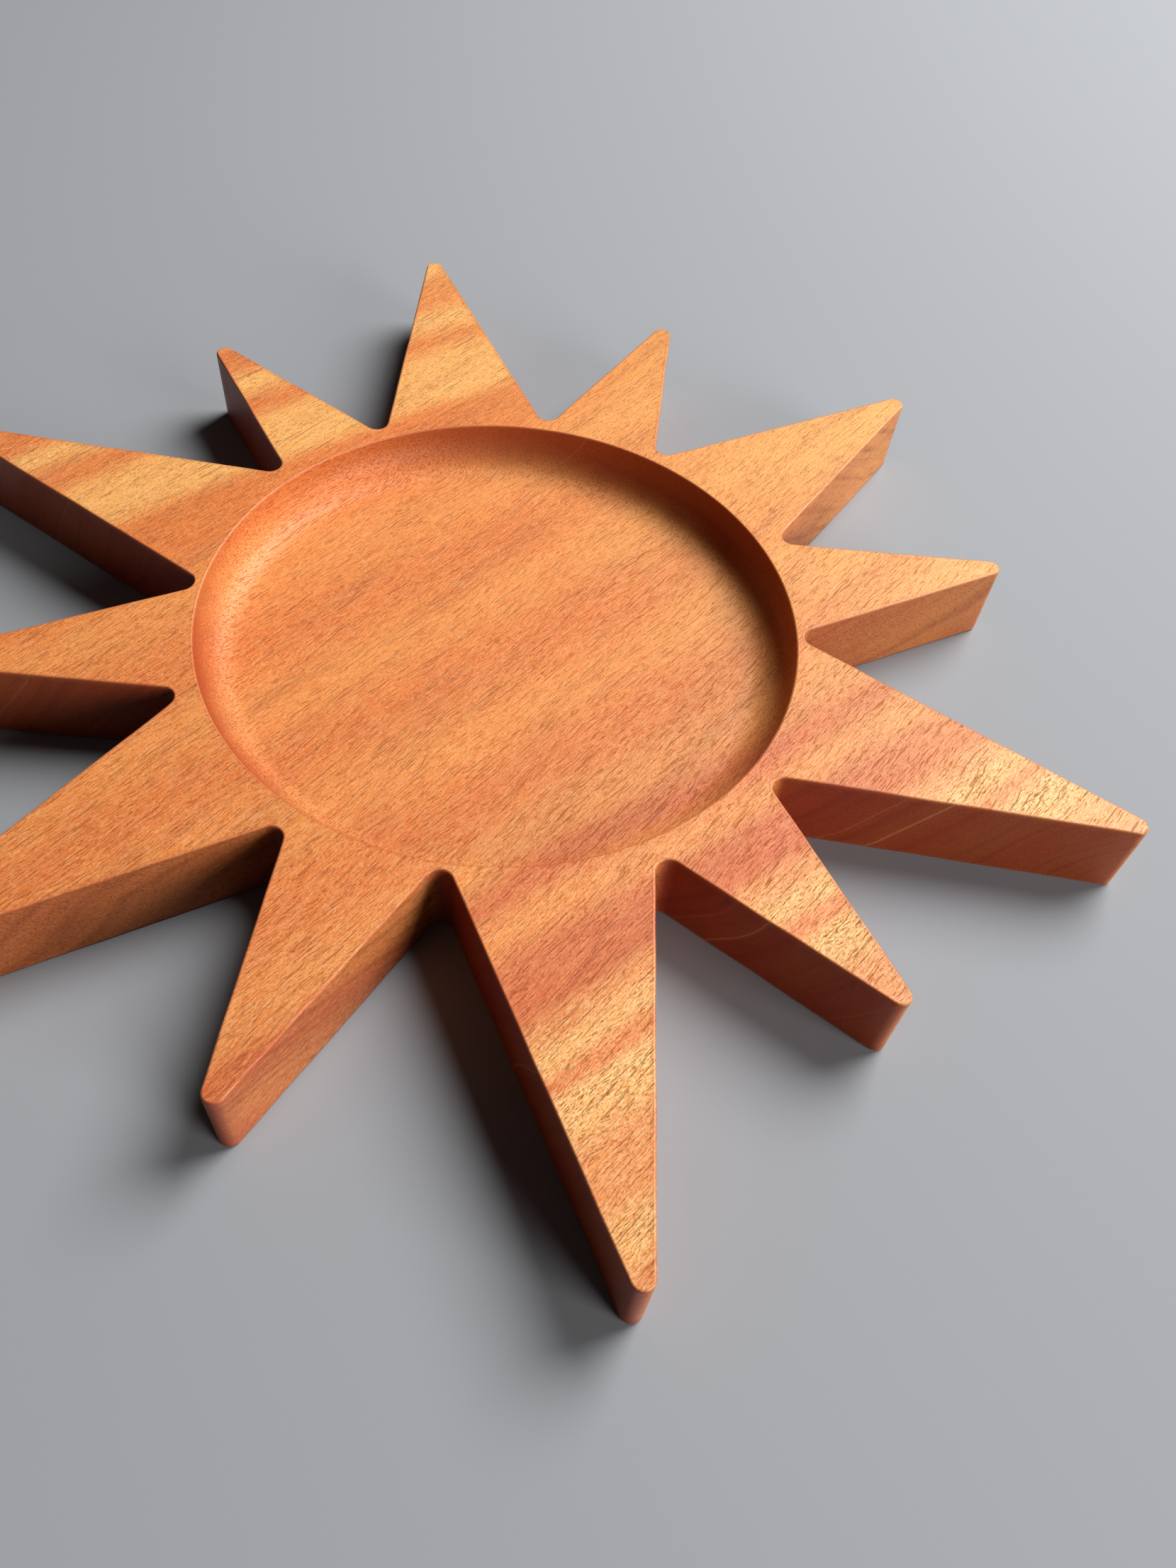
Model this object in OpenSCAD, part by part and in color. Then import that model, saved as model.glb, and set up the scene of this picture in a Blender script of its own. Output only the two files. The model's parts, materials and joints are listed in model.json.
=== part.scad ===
// Sunburst coaster: one board with twelve sawn rays, long and short in turn,
// and a round coved recess.
// Millimetres. The recess axis is the Z axis, and the underside lies at z = 0.
// Bearings start at -Y, where the foremost long ray points, and run anticlockwise.

/* [Board] */
// Thickness of the planed board
board_t = 15; // [12:0.5:20]

/* [Rays] */
// Distance from the centre to a long ray's sharp corner, before its tip is rounded
long_reach = 114; // [100:1:130]
// Distance from the centre to a short ray's sharp corner
short_reach = 98.5; // [85:0.5:105]
// Distance from the centre to the sharp corner between two rays
notch_reach = 52; // [52:0.5:60]
// Bearing of a notch from the middle of the long ray beside it, in degrees
long_half_turn = 17.5; // [14:0.5:20]
// Radius that rounds each ray's tip in plan
tip_r = 1.8; // [1.6:0.1:3]
// Radius that the saw leaves in the corner of each notch
notch_r = 2; // [1.5:0.1:3]
// Width of the small bevel sanded along the top and bottom edges of the outline
edge_w = 0.7; // [0.3:0.1:1]

/* [Recess] */
// Radius of the recess at its wall, which makes it 4 inches across
recess_r = 50.8; // [45:0.2:51]
// Depth of the recess floor below the top face
recess_depth = 8; // [7.5:0.5:10]
// Radius of the cove that joins the wall to the floor
cove_r = 6.35; // [3:0.05:6.5]
// Width of the bevel sanded on the rim of the recess
rim_w = 0.4; // [0.2:0.1:0.8]

/* [Hidden] */

// How far a cut runs past the face that it opens
overrun = 0.5;
// How far the bevel of a straight side stops short of a notch's arc
side_gap = 0.3;

// Rays are marked out by hand, so each departs a little from an even star.
// One entry for each ray, from the foremost one round.
ray_count = 12;
ray_step = 360 / ray_count;
tip_reach_shares = [1.04, 1, 1.02, 1, 0.96, 1, 1, 1, 1, 1, 0.99, 1.02];
tip_turns = [1, 0, -1, 1.5, 0, 0, 0, 0, -2, 0, -0.5, -1];
// One entry for each notch, from the one after the foremost ray round
notch_reach_shares = [1.02, 1.02, 0.97, 1.035, 1, 1, 1, 1.01, 0.97, 1.015, 1.02, 0.965];
notch_turns = [0.5, 0.5, 1, 1.5, 0, 0, 0, -2, -2, -0.5, -1.5, 0];

floor_z = board_t - recess_depth;
corner_count = 2 * ray_count;

// Point at a distance and a bearing from the recess axis
function polar(reach, bearing) = [reach * sin(bearing), -reach * cos(bearing)];
function unit(v) = v / norm(v);
function heading(v) = atan2(v[1], v[0]);
function is_long(i) = i % 2 == 0;

// Sharp corners of the star: even ones are tips, odd ones are notches
function tip_corner(i) = polar(
    (is_long(i) ? long_reach : short_reach) * tip_reach_shares[i],
    i * ray_step + tip_turns[i]);
function notch_corner(i) = polar(
    notch_reach * notch_reach_shares[i],
    i * ray_step + (is_long(i) ? long_half_turn : ray_step - long_half_turn) + notch_turns[i]);
corners = [for (k = [0 : corner_count - 1])
    k % 2 == 0 ? tip_corner(k / 2) : notch_corner((k - 1) / 2)];

// Each corner k is rounded by an arc that touches the edges on both sides of it
function corner(k) = corners[(k + corner_count) % corner_count];
function is_tip(k) = (k + corner_count) % 2 == 0;
function arc_r(k) = is_tip(k) ? tip_r : notch_r;
function back_way(k) = unit(corner(k - 1) - corner(k));
function on_way(k) = unit(corner(k + 1) - corner(k));
function half_angle(k) = acos(back_way(k) * on_way(k)) / 2;
function arc_centre(k) =
    corner(k) + unit(back_way(k) + on_way(k)) * arc_r(k) / sin(half_angle(k));
function arc_start(k) = corner(k) + back_way(k) * arc_r(k) / tan(half_angle(k));
function arc_end(k) = corner(k) + on_way(k) * arc_r(k) / tan(half_angle(k));

// Plan of the star: straight edges, with true arcs at the tips and notches
module star_outline() {
    difference() {
        union() {
            polygon([for (k = [0 : corner_count - 1])
                each is_tip(k) ? [arc_start(k), arc_end(k)]
                               : [arc_start(k), arc_centre(k), arc_end(k)]]);
            for (k = [0 : 2 : corner_count - 2])
                translate(arc_centre(k)) circle(r = tip_r, $fn = 48);
        }
        for (k = [1 : 2 : corner_count - 1])
            translate(arc_centre(k)) circle(r = notch_r, $fn = 48);
    }
}

// Section of the waste that bevels an outer corner of the board: the corner is
// at the origin, with the wall below it and the top face to its left
module edge_waste(width) {
    polygon([
        [-width - overrun, overrun],
        [overrun, -width - overrun],
        [overrun, overrun]]);
}

// Waste along a straight edge of the top face, with the board to its left
module bar_waste(from, to) {
    translate([from[0], from[1], board_t])
        rotate([90, 0, heading(to - from) - 90])
            mirror([0, 0, 1])
                linear_extrude(height = norm(to - from))
                    edge_waste(edge_w);
}

// Waste along the side from corner k to the next: it runs out past a tip, and
// stops just short of the arc of a notch
module side_waste(k) {
    bar_waste(
        is_tip(k) ? corner(k) : arc_end(k) + on_way(k) * side_gap,
        is_tip(k + 1) ? corner(k + 1) : arc_start(k + 1) + back_way(k + 1) * side_gap);
}

// Waste across the nose of tip k
module nose_waste(k) {
    out_way = unit(corner(k) - arc_centre(k));
    across = [-out_way[1], out_way[0]];
    nose = arc_centre(k) + out_way * tip_r;
    bar_waste(nose - across * tip_r, nose + across * tip_r);
}

// Waste round the arc of notch k, a cone that opens upwards
module notch_waste(k) {
    translate([arc_centre(k)[0], arc_centre(k)[1], board_t - edge_w])
        cylinder(h = edge_w + overrun, r1 = notch_r, r2 = notch_r + edge_w + overrun, $fn = 96);
}

// Waste along the whole top edge of the outline
module outline_edge_waste() {
    for (k = [0 : corner_count - 1]) {
        side_waste(k);
        if (is_tip(k)) nose_waste(k);
        else notch_waste(k);
    }
}

// Waste of the recess: wall, cove, flat floor and the bevelled rim
module recess_waste() {
    rotate_extrude($fn = 180) {
        translate([0, floor_z]) square([recess_r - cove_r, recess_depth + overrun]);
        translate([0, floor_z + cove_r])
            square([recess_r, recess_depth - cove_r + overrun]);
        translate([recess_r - cove_r, floor_z + cove_r]) circle(r = cove_r, $fn = 96);
        translate([recess_r, board_t]) mirror([1, 0]) edge_waste(rim_w);
    }
}

module sunburst_board() {
    color("peru")
        difference() {
            linear_extrude(height = board_t) star_outline();
            outline_edge_waste();
            translate([0, 0, board_t]) mirror([0, 0, 1]) outline_edge_waste();
            recess_waste();
        }
}

sunburst_board();
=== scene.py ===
"""Looks of the sunburst coaster: one board of oiled mahogany on a plain pale floor."""

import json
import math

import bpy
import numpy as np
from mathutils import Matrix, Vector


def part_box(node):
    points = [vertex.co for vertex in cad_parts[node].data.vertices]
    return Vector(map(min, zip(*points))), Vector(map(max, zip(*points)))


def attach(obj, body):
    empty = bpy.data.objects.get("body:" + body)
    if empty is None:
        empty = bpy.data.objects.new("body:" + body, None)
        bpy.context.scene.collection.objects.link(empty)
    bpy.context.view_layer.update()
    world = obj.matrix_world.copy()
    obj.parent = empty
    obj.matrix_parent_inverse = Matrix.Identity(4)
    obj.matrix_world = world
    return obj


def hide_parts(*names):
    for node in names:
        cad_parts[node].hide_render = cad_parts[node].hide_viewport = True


bl_info = {
    "name": "Sunburst Coaster",
    "version": (1, 0, 0),
    "blender": (4, 5, 0),
    "location": "View3D > Sidebar > Coaster",
    "description": "Builds a twelve-ray wooden coaster, its oiled finish and a plain stage",
    "category": "Add Mesh",
}

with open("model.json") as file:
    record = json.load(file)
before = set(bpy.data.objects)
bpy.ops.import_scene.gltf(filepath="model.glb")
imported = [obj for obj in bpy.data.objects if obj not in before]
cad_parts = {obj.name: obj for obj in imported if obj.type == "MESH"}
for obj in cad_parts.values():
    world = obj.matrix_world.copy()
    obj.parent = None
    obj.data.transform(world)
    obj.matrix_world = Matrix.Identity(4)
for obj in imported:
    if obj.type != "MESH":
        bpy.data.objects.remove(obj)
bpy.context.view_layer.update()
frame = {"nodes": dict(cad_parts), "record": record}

MM = 0.001
MM_IN_METRE = 1000
BOARD_NODE = "sunburst_board"
WALL_COUNT = 24
mounts = {mount["name"]: mount for mount in frame["record"]["mounts"]}
board_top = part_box(BOARD_NODE)[1].z

# How finely the board is drawn: steps along each arc and each straight side of the outline, and
# rings round each sanded edge and down the cove
ARC_STEPS = 12
SIDE_STEPS = 14
EDGE_RINGS = 7
COVE_RINGS = 19

# Waves that hand sanding leaves in the walls: how many go round the outline, by how many radians
# each turns from the underside to the top, and where it starts
WAVES = ((41, 3, 0), (67, -2, 1), (109, 4, 2))

# Thin pale lines between growth layers: millimetres across the layers, and strength
GROWTH_LINES = ((-71, 0.3), (-92, 0.07), (-66, 0.1), (-38, 0.08), (31, 0.1), (66, 0.1))

# Ribbons of the figure: millimetres across the layers, colour, and strength of the shimmer, painted as
# pale glints. Each colour is partly the wood's own and partly painted sheen of its leaning fibres. The
# span is how many millimetres all of them take
RIBBONS = (
    (-125, "plain", 0.2), (-100, "amber", 0.5), (-94.5, "gold", 0.8), (-90, "amber", 0.4),
    (-86, "amber", 0.5), (-81, "gold", 0.8), (-78, "gold", 1.0), (-74.5, "plain", 0.3),
    (-70.5, "gold", 0.8), (-66.5, "amber", 0.5), (-62.5, "red", 0.0), (-58, "red", 0.1),
    (-53, "amber", 0.3), (-47, "red", 0.1), (-41, "amber", 0.3), (-30, "plain", 0.2),
    (-18, "amber", 0.2), (-6, "plain", 0.2), (6, "amber", 0.2), (20, "plain", 0.2),
    (34, "amber", 0.2), (44, "plain", 0.1), (51, "plain", 0.1), (57, "gold", 0.5),
    (66, "gold", 0.4), (72, "plain", 0.2), (78, "gold", 0.6), (83, "plain", 0.3),
    (88, "plain", 0.2), (95, "gold", 0.6), (106, "plain", 0.2))
RIBBON_SPAN = 250


def linear(hex_code):
    """Linear RGBA of an sRGB hex colour."""
    share = np.array([int(hex_code[i:i + 2], 16) for i in (0, 2, 4)]) / 255
    value = np.where(share <= 0.04045, share / 12.92, ((share + 0.055) / 1.055) ** 2.4)
    return (*value.tolist(), 1.0)


class CoasterBoardSettings(bpy.types.PropertyGroup):
    """Sizes of the board"""

    thickness: bpy.props.FloatProperty(
        name="Thickness", description="Thickness of the board",
        default=board_top, unit="LENGTH")
    recess_radius: bpy.props.FloatProperty(
        name="Recess radius", description="Radius of the recess at its wall",
        default=mounts["bottle_recess"]["dims"]["r_mm"] * MM, unit="LENGTH")
    floor_height: bpy.props.FloatProperty(
        name="Floor height", description="Height of the recess floor above the underside",
        default=mounts["bottle_seat"]["pos_m"][2], unit="LENGTH")
    tip_radius: bpy.props.FloatProperty(
        name="Tip radius", description="Radius of each ray's tip in plan",
        default=1.8 * MM, unit="LENGTH")
    notch_radius: bpy.props.FloatProperty(
        name="Notch radius", description="Radius of the corner between two rays",
        default=2.0 * MM, unit="LENGTH")
    edge_radius: bpy.props.FloatProperty(
        name="Edge radius", description="Radius sanded on the top and bottom edges",
        default=0.4 * MM, unit="LENGTH")
    rim_radius: bpy.props.FloatProperty(
        name="Rim radius", description="Radius sanded on the rim of the recess",
        default=0.4 * MM, unit="LENGTH")
    hand_waver: bpy.props.FloatProperty(
        name="Hand waver", description="How far hand sanding leaves a wall from flat",
        default=0.12 * MM, unit="LENGTH")


class CoasterWoodSettings(bpy.types.PropertyGroup):
    """Figure and colours of the wood"""

    grain_heading: bpy.props.FloatProperty(
        name="Grain heading", description="Direction of the fibres, from +X towards +Y",
        default=math.radians(40), subtype="ANGLE")
    ribbon_heading: bpy.props.FloatProperty(
        name="Ribbon heading", description="Direction of the ribbons, from +X towards +Y",
        default=math.radians(27), subtype="ANGLE")
    layer_lean: bpy.props.FloatProperty(
        name="Layer lean", description="Sideways shift of a growth layer for each unit of depth",
        default=0.5)
    # The four ribbon colours are partly the wood's own and partly painted sheen of the figure
    red: bpy.props.FloatVectorProperty(
        name="Red", description="Colour of the deep red ribbons",
        default=linear("BF5C32"), size=4, subtype="COLOR")
    plain: bpy.props.FloatVectorProperty(
        name="Plain", description="Colour of the wood between the ribbons",
        default=linear("CD6B31"), size=4, subtype="COLOR")
    amber: bpy.props.FloatVectorProperty(
        name="Amber", description="Colour of the lighter ribbons",
        default=linear("D67F3E"), size=4, subtype="COLOR")
    gold: bpy.props.FloatVectorProperty(
        name="Gold", description="Colour of the ribbons that shimmer most",
        default=linear("E09B50"), size=4, subtype="COLOR")
    end_colour: bpy.props.FloatVectorProperty(
        name="End grain", description="Colour that the oil gives to end grain",
        default=linear("82260E"), size=4, subtype="COLOR")
    pore_colour: bpy.props.FloatVectorProperty(
        name="Pores", description="Colour of the open pores",
        default=linear("6F300F"), size=4, subtype="COLOR")


class CoasterStageSettings(bpy.types.PropertyGroup):
    """Floor, lights and camera"""

    floor_colour: bpy.props.FloatVectorProperty(
        name="Floor colour", description="Colour of the matt floor",
        default=linear("8C8E91"), size=4, subtype="COLOR")
    floor_reach: bpy.props.FloatProperty(
        name="Floor reach", description="Distance from the middle of the floor to its sides",
        default=3.0, unit="LENGTH")
    lamp_distance: bpy.props.FloatProperty(
        name="Lamp distance", description="Distance of both soft lights from the middle of the floor",
        default=1.1, unit="LENGTH")
    key_power: bpy.props.FloatProperty(
        name="Key power", description="Power of the main soft light on the right",
        default=21.5, unit="POWER")
    front_power: bpy.props.FloatProperty(
        name="Front power", description="Power of the low soft light at the front right",
        default=9.0, unit="POWER")
    fill: bpy.props.FloatProperty(
        name="Fill", description="Strength of the even light from all round", default=0.025)
    camera_lens: bpy.props.FloatProperty(
        name="Lens", description="Focal length for a sensor 36 mm long",
        default=28.6, unit="CAMERA")
    camera_azimuth: bpy.props.FloatProperty(
        name="Camera azimuth", description="Turn of the camera round the coaster, from -Y towards +X",
        default=math.radians(-15.87), subtype="ANGLE")
    camera_elevation: bpy.props.FloatProperty(
        name="Camera elevation", description="Angle of the camera above the floor",
        default=math.radians(53.07), subtype="ANGLE")
    camera_roll: bpy.props.FloatProperty(
        name="Camera roll", description="Turn of the camera about its own line of sight",
        default=math.radians(7.07), subtype="ANGLE")
    camera_distance: bpy.props.FloatProperty(
        name="Camera distance", description="Distance from the camera to the point it looks at",
        default=210.8 * MM, unit="LENGTH")
    camera_aim: bpy.props.FloatVectorProperty(
        name="Camera aim", description="Point on the floor that the camera looks at",
        default=(11.5 * MM, -26.4 * MM, 0), size=3, subtype="XYZ", unit="LENGTH")


def unit(vectors):
    """Vectors divided by their lengths."""
    return vectors / np.linalg.norm(vectors, axis=-1, keepdims=True)


def bearing(points):
    """Angle of plan points from -Y, anticlockwise, from zero to a full turn."""
    return np.arctan2(points[..., 0], -points[..., 1]) % math.tau


def vertex_points(mesh):
    """Places of a mesh's vertices, one row each."""
    points = np.zeros(len(mesh.vertices) * 3)
    mesh.vertices.foreach_get("co", points)
    return points.reshape(-1, 3)


def star_corners(mesh):
    """Sharp corners of the star in plan, a tip first and then notches and tips in turn.

    The board's long upright walls are its largest upright planes. Two neighbours, by the bearing
    of their centres, meet in a corner: the point that lies on both lines."""
    mesh.calc_loop_triangles()
    triangles = np.zeros(len(mesh.loop_triangles) * 3, int)
    mesh.loop_triangles.foreach_get("vertices", triangles)
    corner = vertex_points(mesh)[triangles.reshape(-1, 3)]
    cross = np.cross(corner[:, 1] - corner[:, 0], corner[:, 2] - corner[:, 0])
    area = np.linalg.norm(cross, axis=1) / 2
    lean_allowed = 1e-3
    upright = (area > 0) & (np.abs(cross[:, 2]) < lean_allowed * area)
    normal = unit(cross[upright, :2])
    centre = corner[upright, :, :2].mean(1)
    area = area[upright]
    reach = (normal * centre).sum(1)
    same_way = 1 - 1e-6
    same_reach = 0.02 * MM
    free = np.ones(len(area), bool)
    walls = []
    for _ in range(WALL_COUNT):
        largest = np.argmax(area * free)
        same = free & (normal @ normal[largest] > same_way) & (np.abs(reach - reach[largest]) < same_reach)
        middle = np.average(centre[same], axis=0, weights=area[same])
        walls.append((bearing(middle), *normal[largest], reach[largest]))
        free &= ~same
    wall = np.array(sorted(walls))
    before = np.roll(wall, 1, axis=0)
    pairs = np.stack([before[:, 1:3], wall[:, 1:3]], 1)
    return np.linalg.solve(pairs, np.stack([before[:, 3], wall[:, 3]], 1)[..., None])[..., 0]


def star_outline(corners, tip_radius, notch_radius):
    """Points along the star's outline, and which way is out of the board at each.

    Every corner is rounded by the arc that touches both of its sides: a point of an arc is its
    centre plus the radius at an angle, and a point of a side lies an even share along it. Out of
    a side is its direction turned a quarter turn clockwise."""
    on_way = unit(np.roll(corners, -1, axis=0) - corners)
    back_way = unit(np.roll(corners, 1, axis=0) - corners)
    half = np.arccos((on_way * back_way).sum(1)) / 2
    is_tip = np.arange(len(corners)) % 2 == 0
    radius = np.where(is_tip, tip_radius, notch_radius)
    centre = corners + unit(on_way + back_way) * (radius / np.sin(half))[:, None]
    reach = (radius / np.tan(half))[:, None]
    start = corners + back_way * reach
    end = corners + on_way * reach
    first = np.arctan2(*(start - centre).T[::-1])
    sweep = np.where(is_tip, 1, -1) * (math.pi - 2 * half)
    angle = first[:, None] + sweep[:, None] * np.linspace(0, 1, ARC_STEPS + 1)
    spoke = np.stack([np.cos(angle), np.sin(angle)], -1)
    arc = centre[:, None] + spoke * radius[:, None, None]
    arc_out = spoke * np.where(is_tip, 1, -1)[:, None, None]
    share = np.linspace(0, 1, SIDE_STEPS + 1)[1:-1, None]
    side = end[:, None] + (np.roll(start, -1, axis=0) - end)[:, None] * share
    clockwise = np.stack([on_way[:, 1], -on_way[:, 0]], -1)
    side_out = np.broadcast_to(clockwise[:, None], side.shape)
    points = np.concatenate([arc, side], 1).reshape(-1, 2)
    out = np.concatenate([arc_out, side_out], 1).reshape(-1, 2)
    return points, out


def flat_radius(floor_z, recess_r):
    """Radius of the flat part of the recess floor: the frame's furthest point at that height."""
    points = vertex_points(frame["nodes"][BOARD_NODE].data)
    radius = np.hypot(points[:, 0], points[:, 1])
    level = (np.abs(points[:, 2] - floor_z) < 0.01 * MM) & (radius < recess_r)
    return radius[level].max()


def rim_bearings(outline):
    """Bearing at which each outline point's column meets the rim of the recess.

    The column from the middle of a notch runs straight to the rim, at the notch's own bearing, and
    the columns between two notches are spread evenly from one bearing to the other."""
    count = len(outline)
    per_corner = ARC_STEPS + SIDE_STEPS
    notch = np.arange(per_corner + ARC_STEPS // 2, count, 2 * per_corner)
    known = bearing(outline[notch])
    return np.interp(
        np.arange(count),
        np.concatenate([notch[-1:] - count, notch, notch[:1] + count]),
        np.concatenate([known[-1:] - math.tau, known, known[:1] + math.tau]))


def board_surface(board, corners):
    """Grid of points of the whole board, a row for each ring and a column for each outline point,
    with how sanded the wood is at each point, from zero to one.

    The rings run from the middle of the underside out to the bottom edge, round it, up the wall,
    round the top edge, across the top face to the rim, round it, down the recess and its cove, and
    in to the middle of the floor. A sanded edge is a quarter circle, from the flat face on: in by
    r (1 - sin a), and up or down by r (1 - cos a). The cove is one too. The top face is ruled
    straight from the outline to the rim circle. The edges, the rim and the walls of the tips are
    sanded most."""
    outline, out = star_outline(corners, board.tip_radius, board.notch_radius)
    count = len(outline)
    top, edge, rim = board.thickness, board.edge_radius, board.rim_radius
    recess_r, floor_z = board.recess_radius, board.floor_height
    flat_r = flat_radius(floor_z, recess_r)
    cove = recess_r - flat_r
    step = np.linalg.norm(np.roll(outline, -1, axis=0) - outline, axis=1)
    along = np.concatenate([[0], np.cumsum(step)[:-1]]) / step.sum() * math.tau
    rim_bearing = rim_bearings(outline)
    circle = np.stack([np.sin(rim_bearing), -np.cos(rim_bearing)], -1)

    def waver(level):
        """Depth of hand sanding: a sum of slow waves round the outline that turn with height."""
        wave = sum(np.sin(number * along + turn * level / top + start) for number, turn, start in WAVES)
        return board.hand_waver * (len(WAVES) - wave) / (2 * len(WAVES))

    def wall_ring(inset, level):
        plan = outline - out * (inset + waver(level))[:, None]
        return np.column_stack([plan, np.full(count, level)])

    def round_ring(radius, level):
        return np.column_stack([circle * radius, np.full(count, level)])

    # Flat faces begin a little inside the sanded edges, so that smooth shading keeps them flat
    foot = wall_ring(1.15 * edge, 0)
    shoulder = wall_ring(1.15 * edge, top)
    shore = round_ring(recess_r + 1.25 * rim, top)
    on_tip = np.arange(count) % (2 * (ARC_STEPS + SIDE_STEPS)) <= ARC_STEPS
    quarter = np.radians(np.linspace(0, 90, EDGE_RINGS))
    bowl = np.radians(np.linspace(0, 90, COVE_RINGS))

    # Each band of rings, with how sanded it is
    bands = [
        (0, [foot * share for share in (0.002, 0.25, 0.5, 0.75, 0.93, 1)]),
        (1, [wall_ring(edge * (1 - np.sin(a)), edge * (1 - np.cos(a))) for a in quarter]),
        (np.where(on_tip, 0.8, 0),
         [wall_ring(0, edge + (top - 2 * edge) * share) for share in (0.04, 0.2, 0.4, 0.6, 0.8, 0.96)]),
        (1, [wall_ring(edge * (1 - np.cos(a)), top - edge * (1 - np.sin(a))) for a in quarter]),
        (0.6, [shoulder]),
        (0, [shoulder + (shore - shoulder) * share for share in (0.06, 0.2, 0.4, 0.6, 0.8, 0.94, 1)]),
        (0.8, [round_ring(recess_r + rim * (1 - np.sin(a)), top - rim * (1 - np.cos(a)))
               for a in quarter]),
        (0, [round_ring(recess_r, top - rim + (floor_z + cove - top + rim) * share)
             for share in (0.1, 0.5, 0.9)]),
        (0, [round_ring(recess_r - cove * (1 - np.cos(a)), floor_z + cove * (1 - np.sin(a)))
             for a in bowl]),
        (0, [round_ring(flat_r * share, floor_z) for share in (0.985, 0.8, 0.6, 0.4, 0.2, 0.002)])]
    rings = np.concatenate([np.array(band) for _, band in bands])
    sanded = np.concatenate([np.broadcast_to(wear, (len(band), count)) for wear, band in bands])
    return rings, sanded


def closed_mesh(name, rings, sanded):
    """Mesh of a grid that closes on itself round each ring, with its first and last rings closed by
    a point: vertex r * columns + c is column c of ring r. Each vertex keeps how sanded it is."""
    ring_count, column_count = rings.shape[:2]
    poles = np.array([rings[0].mean(0), rings[-1].mean(0)])
    vertices = np.concatenate([rings.reshape(-1, 3), poles])
    index = np.arange(ring_count * column_count).reshape(ring_count, column_count)
    beside = np.roll(index, -1, axis=1)
    quads = np.stack([index[:-1], beside[:-1], beside[1:], index[1:]], -1).reshape(-1, 4)
    first, last = len(vertices) - 2, len(vertices) - 1
    low_fan = np.stack([np.full(column_count, first), beside[0], index[0]], -1)
    high_fan = np.stack([np.full(column_count, last), index[-1], beside[-1]], -1)
    mesh = bpy.data.meshes.new(name)
    mesh.from_pydata(vertices.tolist(), [], [*quads.tolist(), *low_fan.tolist(), *high_fan.tolist()])
    mesh.update()
    wear = mesh.attributes.new("sanded", "FLOAT", "POINT")
    wear.data.foreach_set("value", np.concatenate([sanded.ravel(), [0, 0]]))
    mesh.shade_smooth()
    return mesh


def add(tree, kind, inputs=None, **settings):
    """Adds a shader node: settings are its own properties, and each input gets a value or a link.

    The colours that a Mix node mixes are its inputs 6 and 7 and come out at 2. The numbers that it
    mixes are its inputs 2 and 3 and come out at 0."""
    node = tree.nodes.new("ShaderNode" + kind)
    for name, value in settings.items():
        setattr(node, name, value)
    for socket, value in (inputs or {}).items():
        if isinstance(value, bpy.types.NodeSocket):
            tree.links.new(value, node.inputs[socket])
        else:
            node.inputs[socket].default_value = value
    return node


def fibre_noise(tree, fibres, length, width, detail, shift=0.0):
    """Outputs of a noise drawn out along the fibres, in blotches of about length by width
    millimetres: the millimetres along are divided by the length, and those across by the width."""
    stretched = add(tree, "Mapping", {
        "Vector": fibres, "Location": (shift, shift, shift),
        "Scale": (1 / length, 1 / width, 1 / width)}).outputs[0]
    return add(tree, "TexNoise", {"Vector": stretched, "Scale": 1, "Detail": detail}).outputs


def fibre_space(tree, place, heading):
    """Millimetres with +X along the fibres, first straight, and then with the bends of real ones.

    The bends shift them sideways by a slow noise in blotches of 35 by 12 mm and a quick one in
    blotches of 3.5 by 1.6 mm."""
    straight = add(tree, "Mapping", {
        "Vector": place, "Rotation": (0, 0, -heading),
        "Scale": (MM_IN_METRE, MM_IN_METRE, MM_IN_METRE)}).outputs[0]
    bent = straight
    for length, width, bend in ((35, 12, 3.5), (3.5, 1.6, 0.6)):
        wander = fibre_noise(tree, straight, length, width, 1)["Color"]
        bent = add(tree, "VectorMath", {0: wander, 1: (0, bend, bend), 2: bent},
                   operation="MULTIPLY_ADD").outputs[0]
    return straight, bent


def layer_space(tree, place, straight, wood):
    """Millimetres along the ribbons, and across the growth layers.

    The layers lean as they go down from the top face, and a slow noise shifts them sideways by up
    to 1.6 mm."""
    ahead, aside = math.cos(wood.ribbon_heading), math.sin(wood.ribbon_heading)
    along = add(tree, "VectorMath", {0: place, 1: (MM_IN_METRE * ahead, MM_IN_METRE * aside, 0)},
                operation="DOT_PRODUCT").outputs["Value"]
    lean = MM_IN_METRE * wood.layer_lean
    across = add(tree, "VectorMath", {0: place, 1: (-MM_IN_METRE * aside, MM_IN_METRE * ahead, lean)},
                 operation="DOT_PRODUCT").outputs["Value"]
    level = add(tree, "Math", {0: across, 1: -lean * board_top}, operation="ADD").outputs[0]
    wander = add(tree, "MapRange", {"Value": fibre_noise(tree, straight, 60, 20, 0)[0],
                                    "From Min": 0.3, "From Max": 0.7, "To Min": -1.6, "To Max": 1.6})
    return along, add(tree, "Math", {0: level, 1: wander.outputs[0]}, operation="ADD").outputs[0]


def ribbons(tree, layer, wood):
    """Colour of the ribbons, partly painted sheen, and how strongly each shimmers in painted glints, by
    millimetres across the layers.
    """
    share = add(tree, "MapRange", {
        "Value": layer, "From Min": -RIBBON_SPAN / 2, "From Max": RIBBON_SPAN / 2}).outputs[0]
    ramp = add(tree, "ValToRGB", {0: share})
    ramp.color_ramp.interpolation = "EASE"
    elements = ramp.color_ramp.elements
    elements.remove(elements[1])
    for number, (millimetres, colour, shimmer) in enumerate(RIBBONS):
        spot = millimetres / RIBBON_SPAN + 0.5
        element = elements[0] if number == 0 else elements.new(spot)
        element.position = spot
        element.color = (*getattr(wood, colour)[:3], shimmer)
    return ramp.outputs["Color"], ramp.outputs["Alpha"]


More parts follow.
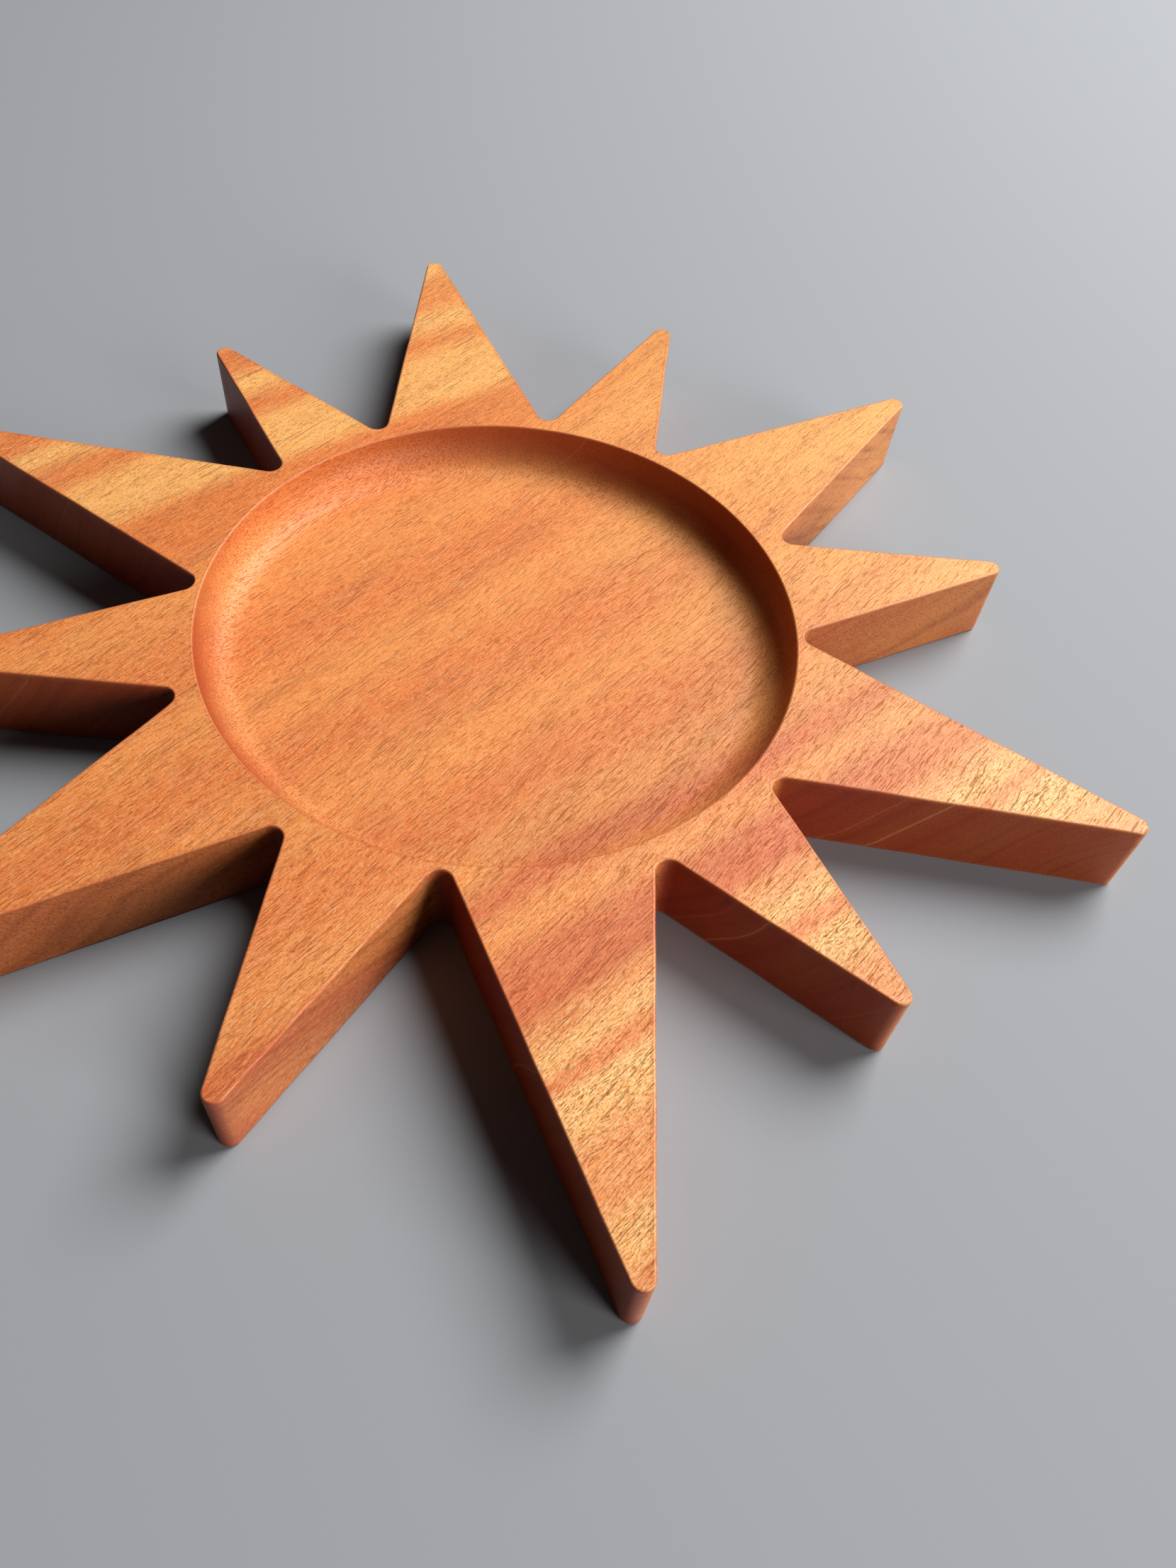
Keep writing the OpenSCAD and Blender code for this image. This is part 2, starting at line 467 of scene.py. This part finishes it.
def growth_line(tree, layer, spot):
    """Mask of one line between growth layers: one within 0.05 mm of its spot, none past 0.28 mm."""
    off = add(tree, "Math", {0: layer, 1: spot}, operation="SUBTRACT").outputs[0]
    off = add(tree, "Math", {0: off}, operation="ABSOLUTE").outputs[0]
    return add(tree, "MapRange", {"Value": off, "From Min": 0.28, "From Max": 0.05}).outputs[0]


def oiled_mahogany(wood, recess_mm):
    """Oiled mahogany, sanded smooth.

    The eye sees a satin red-brown wood. Where the fibres lean to and fro, ribbons of gold and red
    follow each other, their colours partly the wood's own and partly painted sheen, and the gold
    ones shimmer in short pale strokes, a painted highlight. The board is painted gold towards the
    back right as a painted sheen, and deeper red-brown towards the front left as painted shade. The
    mottling is partly the wood's own and partly painted light and shade of its fine relief. Open
    pores are short dark dashes along the grain, here and there drawn out to long fine lines. End
    grain drinks more oil, so it is deep red-brown, and thin pale lines between growth layers slant
    down through the board's thickness. The recess's radius tells its wall from the sawn ones."""
    material = bpy.data.materials.new("oiled_mahogany")
    material.use_nodes = True
    tree = material.node_tree
    shader = tree.nodes["Principled BSDF"]
    place = add(tree, "TexCoord").outputs["Object"]
    normal = add(tree, "NewGeometry").outputs["Normal"]
    straight, fibres = fibre_space(tree, place, wood.grain_heading)
    along, layer = layer_space(tree, place, straight, wood)
    colour, ribbon_shimmer = ribbons(tree, layer, wood)

    # End grain: a share by how squarely the fibres meet the surface. It hides the shimmer
    fibre_way = (math.cos(wood.grain_heading), math.sin(wood.grain_heading), 0)
    squarely = add(tree, "VectorMath", {0: normal, 1: fibre_way},
                   operation="DOT_PRODUCT").outputs["Value"]
    squarely = add(tree, "Math", {0: squarely}, operation="ABSOLUTE").outputs[0]
    end_grain = add(tree, "MapRange", {"Value": squarely, "From Min": 0.25, "From Max": 0.85}).outputs[0]
    long_grain = add(tree, "Math", {0: 1, 1: end_grain}, operation="SUBTRACT").outputs[0]
    # Shimmer is the strength of the painted glints of the figure, kept off end grain
    shimmer = add(tree, "Math", {0: ribbon_shimmer, 1: long_grain}, operation="MULTIPLY").outputs[0]

    # Steepness of the surface, and distance from the axis of the recess
    rise = add(tree, "SeparateXYZ", {0: normal}).outputs["Z"]
    rise = add(tree, "Math", {0: rise}, operation="ABSOLUTE").outputs[0]
    plan = add(tree, "VectorMath", {0: place, 1: (MM_IN_METRE, MM_IN_METRE, 0)},
               operation="MULTIPLY").outputs[0]
    radius = add(tree, "VectorMath", {0: plan}, operation="LENGTH").outputs["Value"]

    # The pores' noise is short and turned a little in the gold ribbons. Real pores are 0.1 to
    # 0.2 mm wide: the short ones are as wide as that, and the long ones wider, so that they show
    turned = add(tree, "Mapping", {"Vector": fibres, "Rotation": (0, 0, math.radians(10))}).outputs[0]
    fine = add(tree, "Mix", {"Factor": shimmer, 2: fibre_noise(tree, fibres, 3.0, 0.18, 1.5)[0],
                             3: fibre_noise(tree, turned, 1.3, 0.18, 1.5)[0]}).outputs[0]
    drawn_out = fibre_noise(tree, fibres, 9, 0.3, 1.5, 2.7)[0]
    mottle = fibre_noise(tree, fibres, 0.5, 0.22, 1.5, 5.1)[0]
    layer_place = add(tree, "CombineXYZ", {0: along, 1: layer}).outputs[0]

    # Each mask goes from zero to one as its value goes from the first number to the second
    spans = {
        # Painted sheen: gold towards the lit back right. Painted shade: deeper red-brown towards the front
        # left
        "painted_sheen": (along, 20, 90, "LINEAR"),
        "painted_shade": (along, -30, -100, "LINEAR"),
        "dark_streaks": (fibre_noise(tree, fibres, 40, 4, 3)[0], 0.46, 0.7, "LINEAR"),
        "light_streaks": (fibre_noise(tree, fibres, 5, 0.4, 2)[0], 0.5, 0.7, "LINEAR"),
        "pale": (fine, 0.56, 0.4, "SMOOTHSTEP"),
        "upright": (rise, 0.7, 0.1, "LINEAR"),
        "outside": (radius, recess_mm + 0.2, recess_mm + 1.2, "SMOOTHSTEP"),
        # Mottle masks: the wood's fine mottling, partly painted shade in hollows and painted highlight on
        # the raised relief
        "dark_mottle_and_shade": (mottle, 0.5, 0.7, "SMOOTHSTEP"),
        "light_mottle_and_highlight": (mottle, 0.5, 0.3, "SMOOTHSTEP"),
        "dark_layer": (fibre_noise(tree, layer_place, 50, 10 / 7, 2)[0], 0.45, 0.68, "SMOOTHSTEP"),
        "short_pores": (fine, 0.58, 0.7, "SMOOTHSTEP"),
        "long_pores": (drawn_out, 0.61, 0.69, "SMOOTHSTEP")}
    mask = {name: add(tree, "MapRange", {"Value": value, "From Min": begin, "From Max": full},
                      interpolation_type=kind).outputs[0]
            for name, (value, begin, full, kind) in spans.items()}

    # Sawn walls are upright and outside the recess. Pores and pale mottling show less in end grain,
    # and both are softer where the wood doesn't shimmer
    sawn = add(tree, "Math", {0: mask["upright"], 1: mask["outside"]}, operation="MULTIPLY").outputs[0]
    clear = add(tree, "MapRange", {"Value": end_grain, "To Min": 1, "To Max": 0.3}).outputs[0]
    mottled = add(tree, "MapRange", {"Value": shimmer, "To Min": 0.4, "To Max": 1}).outputs[0]
    porous = add(tree, "MapRange", {"Value": shimmer, "To Min": 0.65, "To Max": 1}).outputs[0]
    pores = add(tree, "Math", {0: mask["short_pores"], 1: mask["long_pores"]},
                operation="MAXIMUM").outputs[0]
    for share in (clear, porous):
        pores = add(tree, "Math", {0: pores, 1: share}, operation="MULTIPLY").outputs[0]
    sanded = add(tree, "Attribute", attribute_name="sanded").outputs["Fac"]

    # Colours laid over the ribbons one after the other, each by an amount and its masks
    washes = [
        # Along the ribbons the board is painted gold towards the back right, the key light's side, as a
        # painted sheen, and deeper red-brown towards the front left, as painted shade
        (linear("DFA256"), 0.75, [mask["painted_sheen"]]),
        (linear("AA4E18"), 0.3, [mask["painted_shade"]]),
        # Soft streaks of darker and lighter wood run along the fibres
        (linear("9A4D25"), 0.3, [mask["dark_streaks"]]),
        (linear("DF9A55"), 0.15, [mask["light_streaks"]]),
        # Pale flecks lie between the pores, and in the gold ribbons pale glints are painted into them, a
        # painted highlight for the shimmer of the figure
        (linear("EDAE69"), 0.12, [mask["pale"]]),
        (linear("F3D49A"), 0.5, [mask["pale"], shimmer]),
        # The sawn walls took more oil than the planed top, and end grain is redder still
        (linear("BC5524"), 0.35, [sawn]),
        (wood.end_colour, 0.85, [end_grain]),
        # Mottling is finer than the pores. Its dark flecks are partly the wood's own and partly painted
        # shade in the hollows of the fine relief that the same noise makes in the bump, and its light
        # flecks partly painted highlight on the raised wood
        (linear("4E1B09"), 0.5, [mask["dark_mottle_and_shade"], mottled]),
        (linear("F0B880"), 0.36, [mask["light_mottle_and_highlight"], clear, mottled]),
        # Soft dark layers show where the saw cut across them, with thin pale lines between some
        (linear("6A210C"), 0.3, [mask["dark_layer"], sawn]),
        *[(linear("D99A68"), strength, [growth_line(tree, layer, spot)])
          for spot, strength in GROWTH_LINES],
        (wood.pore_colour, 0.58, [pores]),
        # Sanding leaves the edges a little pinker
        (linear("A3553A"), 0.3, [sanded])]
    for tone, amount, masks in washes:
        for part in masks:
            amount = add(tree, "Math", {0: part, 1: amount}, operation="MULTIPLY").outputs[0]
        colour = add(tree, "Mix", {"Factor": amount, 6: colour, 7: tone}, data_type="RGBA").outputs[2]
    tree.links.new(colour, shader.inputs["Base Color"])

    # Open pores are rough, and sanding closes them and leaves the edges smoother
    kept = add(tree, "Math", {0: 1, 1: sanded}, operation="SUBTRACT").outputs[0]
    open_pores = add(tree, "Math", {0: pores, 1: kept}, operation="MULTIPLY").outputs[0]
    rough = add(tree, "MapRange", {"Value": open_pores, "To Min": 0.46, "To Max": 0.75}).outputs[0]
    rough = add(tree, "Math", {0: sanded, 1: -0.08, 2: rough}, operation="MULTIPLY_ADD").outputs[0]
    tree.links.new(rough, shader.inputs["Roughness"])

    # Depth of the pores and of the mottling, a slight relief that the sanded edges have lost
    depth = add(tree, "Math", {0: mottle, 1: kept}, operation="MULTIPLY").outputs[0]
    depth = add(tree, "Math", {0: depth, 1: mottled, 2: open_pores}, operation="MULTIPLY_ADD").outputs[0]
    bump = add(tree, "Bump", {"Strength": 1, "Distance": 0.08 * MM, "Height": depth}, invert=True)
    tree.links.new(bump.outputs[0], shader.inputs["Normal"])
    shader.inputs["IOR"].default_value = 1.5
    shader.inputs["Specular IOR Level"].default_value = 0.25
    return material


def matt_floor(colour):
    """Matt painted floor, even and pale, with no gloss for the eye to catch on."""
    material = bpy.data.materials.new("matt_pale_floor")
    material.use_nodes = True
    shader = material.node_tree.nodes["Principled BSDF"]
    shader.inputs["Base Color"].default_value = colour
    shader.inputs["Roughness"].default_value = 0.9
    return material


def soft_light(name, heading, elevation, size, distance, power):
    """A round soft light that shines at the coaster from a heading and an elevation in degrees.

    It stands at the distance times (cos h cos e, sin h cos e, sin e)."""
    light = bpy.data.lights.new(name, "AREA")
    light.shape = "DISK"
    light.size = size
    light.energy = power
    lamp = bpy.data.objects.new(name, light)
    turn, rise = math.radians(heading), math.radians(elevation)
    way = Vector((math.cos(turn) * math.cos(rise), math.sin(turn) * math.cos(rise), math.sin(rise)))
    lamp.location = way * distance
    lamp.rotation_mode = "QUATERNION"
    lamp.rotation_quaternion = way.to_track_quat("Z", "Y")
    return lamp


def camera_place(stage):
    """Matrix that puts the camera at its distance from the point it looks at.

    Its back points along (sin a cos e, -cos a cos e, sin e) and its right lies level. Both its
    right and its up are then turned about its back by the roll."""
    azimuth, elevation, roll = stage.camera_azimuth, stage.camera_elevation, stage.camera_roll
    back = np.array([math.sin(azimuth) * math.cos(elevation),
                     -math.cos(azimuth) * math.cos(elevation), math.sin(elevation)])
    right = unit(np.cross([0, 0, 1], back))
    up = np.cross(back, right)
    matrix = np.eye(4)
    matrix[:3, 0] = right * math.cos(roll) + up * math.sin(roll)
    matrix[:3, 1] = up * math.cos(roll) - right * math.sin(roll)
    matrix[:3, 2] = back
    matrix[:3, 3] = np.array(stage.camera_aim) + back * stage.camera_distance
    return Matrix(matrix.tolist())


class CoasterBoardOperator(bpy.types.Operator):
    """Builds the board round the frame and gives it its finish"""

    bl_idname = "coaster.board"
    bl_label = "Board"

    def execute(self, context):
        settings = context.scene.coaster_board
        corners = star_corners(frame["nodes"][BOARD_NODE].data)
        rings, sanded = board_surface(settings, corners)
        board = bpy.data.objects.new("coaster_board", closed_mesh("coaster_board", rings, sanded))
        context.scene.collection.objects.link(board)
        recess_mm = settings.recess_radius / MM
        board.data.materials.append(oiled_mahogany(context.scene.coaster_wood, recess_mm))
        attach(board, "root")
        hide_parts(BOARD_NODE)
        return {"FINISHED"}


class CoasterStageOperator(bpy.types.Operator):
    """Builds the floor, the lights and the camera"""

    bl_idname = "coaster.stage"
    bl_label = "Stage"

    def execute(self, context):
        scene, stage = context.scene, context.scene.coaster_stage
        mesh = bpy.data.meshes.new("floor")
        reach = stage.floor_reach
        mesh.from_pydata([(-reach, -reach, 0), (reach, -reach, 0), (reach, reach, 0), (-reach, reach, 0)],
                         [], [(0, 1, 2, 3)])
        mesh.materials.append(matt_floor(stage.floor_colour))
        floor = bpy.data.objects.new("floor", mesh)
        scene.collection.objects.link(floor)

        for lamp in (
                soft_light("key_light", heading=26, elevation=48, size=0.75,
                           distance=stage.lamp_distance, power=stage.key_power),
                soft_light("front_light", heading=-50, elevation=18, size=0.6,
                           distance=stage.lamp_distance, power=stage.front_power)):
            scene.collection.objects.link(lamp)
        scene.world = bpy.data.worlds.new("studio")
        scene.world.use_nodes = True
        background = scene.world.node_tree.nodes["Background"]
        background.inputs["Color"].default_value = (1, 1, 1, 1)
        background.inputs["Strength"].default_value = stage.fill
        scene.view_settings.view_transform = "Standard"

        lens = bpy.data.cameras.new("photo_camera")
        lens.sensor_width = 36
        lens.lens = stage.camera_lens
        lens.clip_start = 0.01
        camera = bpy.data.objects.new("photo_camera", lens)
        camera.matrix_world = camera_place(stage)
        scene.collection.objects.link(camera)
        bpy.context.scene.camera = camera
        return {"FINISHED"}


class CoasterPanel(bpy.types.Panel):
    """Lists the coaster's sizes and colours and its operators"""

    bl_idname = "VIEW3D_PT_coaster"
    bl_label = "Sunburst Coaster"
    bl_space_type = "VIEW_3D"
    bl_region_type = "UI"
    bl_category = "Coaster"

    def draw(self, context):
        for group in ("coaster_board", "coaster_wood", "coaster_stage"):
            box = self.layout.box()
            settings = getattr(context.scene, group)
            for name in settings.__annotations__:
                box.prop(settings, name)
        for operator in (CoasterBoardOperator, CoasterStageOperator):
            self.layout.operator(operator.bl_idname)


CLASSES = (CoasterBoardSettings, CoasterWoodSettings, CoasterStageSettings,
           CoasterBoardOperator, CoasterStageOperator, CoasterPanel)


def register():
    """Registers the classes and hangs the settings on the scene."""
    for cls in CLASSES:
        bpy.utils.register_class(cls)
    bpy.types.Scene.coaster_board = bpy.props.PointerProperty(type=CoasterBoardSettings)
    bpy.types.Scene.coaster_wood = bpy.props.PointerProperty(type=CoasterWoodSettings)
    bpy.types.Scene.coaster_stage = bpy.props.PointerProperty(type=CoasterStageSettings)


def unregister():
    """Takes the settings off the scene and removes the classes."""
    del bpy.types.Scene.coaster_board
    del bpy.types.Scene.coaster_wood
    del bpy.types.Scene.coaster_stage
    for cls in reversed(CLASSES):
        bpy.utils.unregister_class(cls)


def main():
    """Builds everything in order."""
    register()
    bpy.ops.coaster.board()
    bpy.ops.coaster.stage()


if __name__ == "__main__":
    main()
